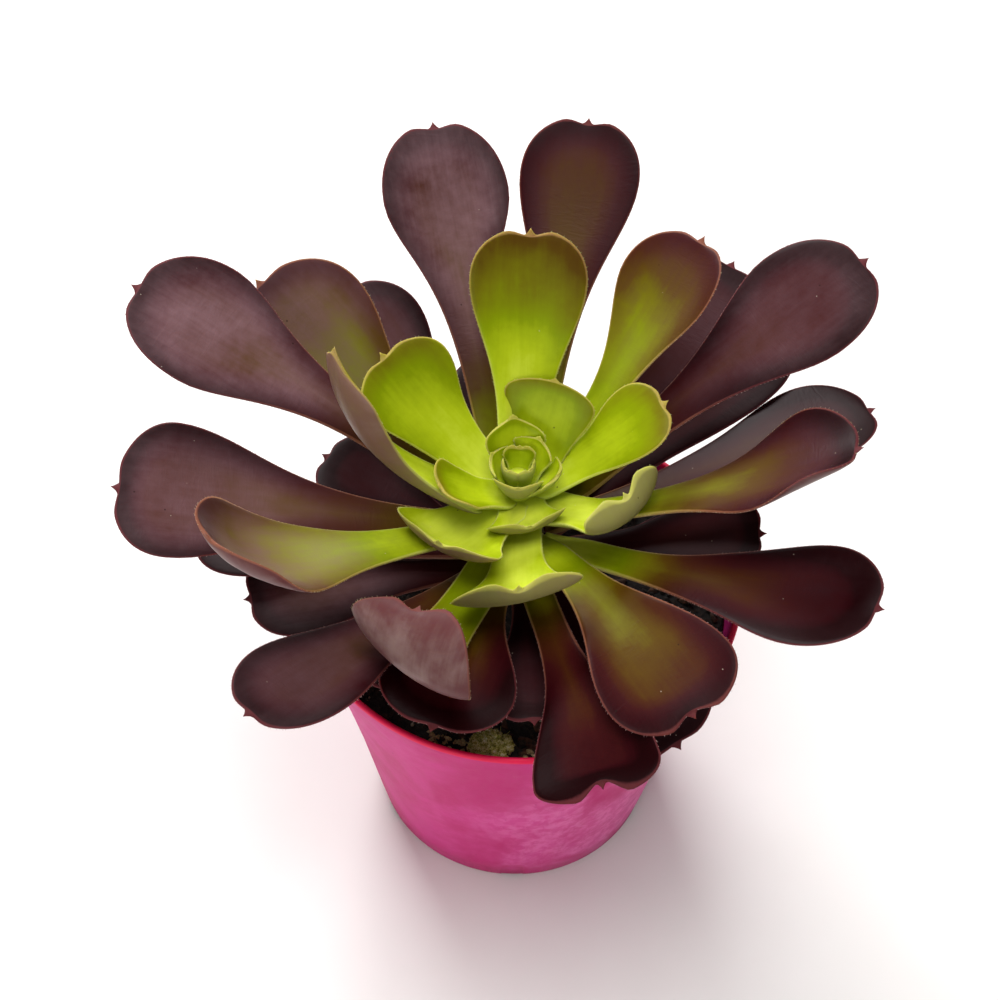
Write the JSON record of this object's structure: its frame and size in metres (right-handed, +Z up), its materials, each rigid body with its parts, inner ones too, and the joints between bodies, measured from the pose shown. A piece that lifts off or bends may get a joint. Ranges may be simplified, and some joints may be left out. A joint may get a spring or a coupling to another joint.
{
  "type": "potted aeonium",
  "caption": "Dark-leaved succulent rosette on a short stem, rooted in soil in a round tapered plastic nursery pot with a flat base to stand on.",
  "frame": {"origin": "middle of the pot's flat underside", "axes": "+Z up along the pot's middle line; the reference picture looks from -Y, with +X to its right"},
  "size_m": [0.1919, 0.1716, 0.1753],
  "materials": {
    "pot_plastic": "matte to satin magenta-pink moulded plastic, a little dusty",
    "soil": "dark loose potting soil with grit",
    "dried_moss": "dry crusty tan-green moss",
    "stem_bark": "grey-brown corky stem",
    "heart_leaf": "fleshy lime-green leaf, satin, paler margin",
    "upper_leaf": "fleshy leaf, green at the base and maroon at the tip, satin",
    "outer_leaf": "fleshy dark maroon leaf, satin with a grey bloom",
    "low_leaf": "fleshy blackish maroon leaf, satin"
  },
  "bodies": {
    "root": {"pot": "pot_plastic", "soil": "soil", "moss_tuft": "dried_moss", "stem": "stem_bark", "heart": "heart_leaf", "low_leaf_01": "low_leaf", "low_leaf_02": "low_leaf", "low_leaf_03": "low_leaf", "low_leaf_04": "low_leaf", "low_leaf_05": "low_leaf", "low_leaf_06": "low_leaf", "low_leaf_07": "low_leaf", "low_leaf_08": "low_leaf", "low_leaf_09": "low_leaf", "low_leaf_10": "low_leaf", "low_leaf_11": "low_leaf", "low_leaf_12": "low_leaf", "low_leaf_13": "low_leaf", "outer_leaf_01": "outer_leaf", "outer_leaf_02": "outer_leaf", "outer_leaf_03": "outer_leaf", "outer_leaf_04": "outer_leaf", "outer_leaf_05": "outer_leaf", "outer_leaf_06": "outer_leaf", "outer_leaf_07": "outer_leaf", "outer_leaf_08": "outer_leaf", "outer_leaf_09": "outer_leaf", "outer_leaf_10": "outer_leaf", "outer_leaf_11": "outer_leaf", "outer_leaf_12": "outer_leaf", "outer_leaf_13": "outer_leaf", "upper_leaf_01": "upper_leaf", "upper_leaf_02": "upper_leaf", "upper_leaf_03": "upper_leaf", "upper_leaf_04": "upper_leaf", "upper_leaf_05": "upper_leaf"}
  },
  "joints": []
}
